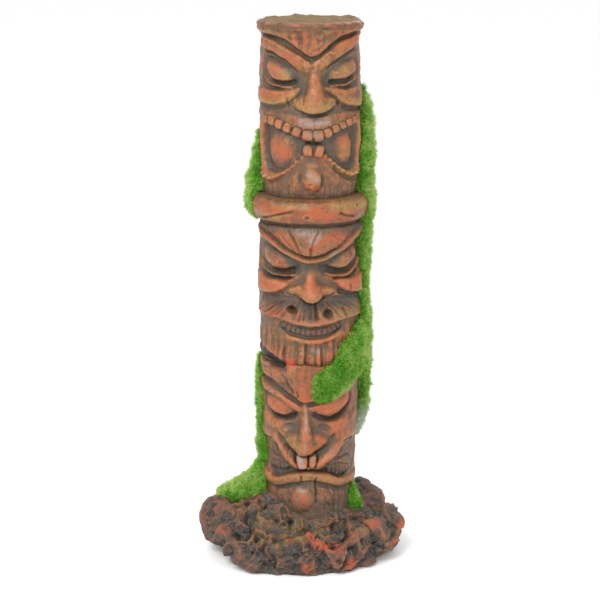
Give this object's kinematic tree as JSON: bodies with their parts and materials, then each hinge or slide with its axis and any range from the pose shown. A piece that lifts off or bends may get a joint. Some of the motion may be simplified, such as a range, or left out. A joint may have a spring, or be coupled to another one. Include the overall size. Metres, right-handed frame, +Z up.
{
  "type": "tiki totem ornament",
  "caption": "Cast-resin totem of stacked carved tiki heads on a lava-rock base with patches of green flocked moss; a free-standing aquarium or terrarium ornament.",
  "frame": {"origin": "on the flat underside of the rock base, under the axis of the pole", "axes": "+Z up along the pole; the faces look along -Y; +X is towards the side with the long moss strip"},
  "size_m": [0.0913, 0.0733, 0.234],
  "materials": {
    "painted_resin": "polyresin painted as carved wood: slate-brown wash in the cuts, dry-brushed orange-brown and ochre on what stands out, satin",
    "rock_resin": "polyresin painted as lava rock: near-black hollows, orange-red and ochre dry brushing on the edges, satin",
    "moss_flock": "bright green short fibre flock on glue, matt"
  },
  "bodies": {
    "root": {"rock_base": "rock_resin", "lower_tiki": "painted_resin", "middle_tiki": "painted_resin", "upper_tiki": "painted_resin", "moss_right_strip": "moss_flock", "moss_front_drape": "moss_flock", "moss_left_upper": "moss_flock", "moss_left_lower": "moss_flock", "moss_foot_right": "moss_flock", "moss_base_left": "moss_flock"}
  },
  "joints": []
}
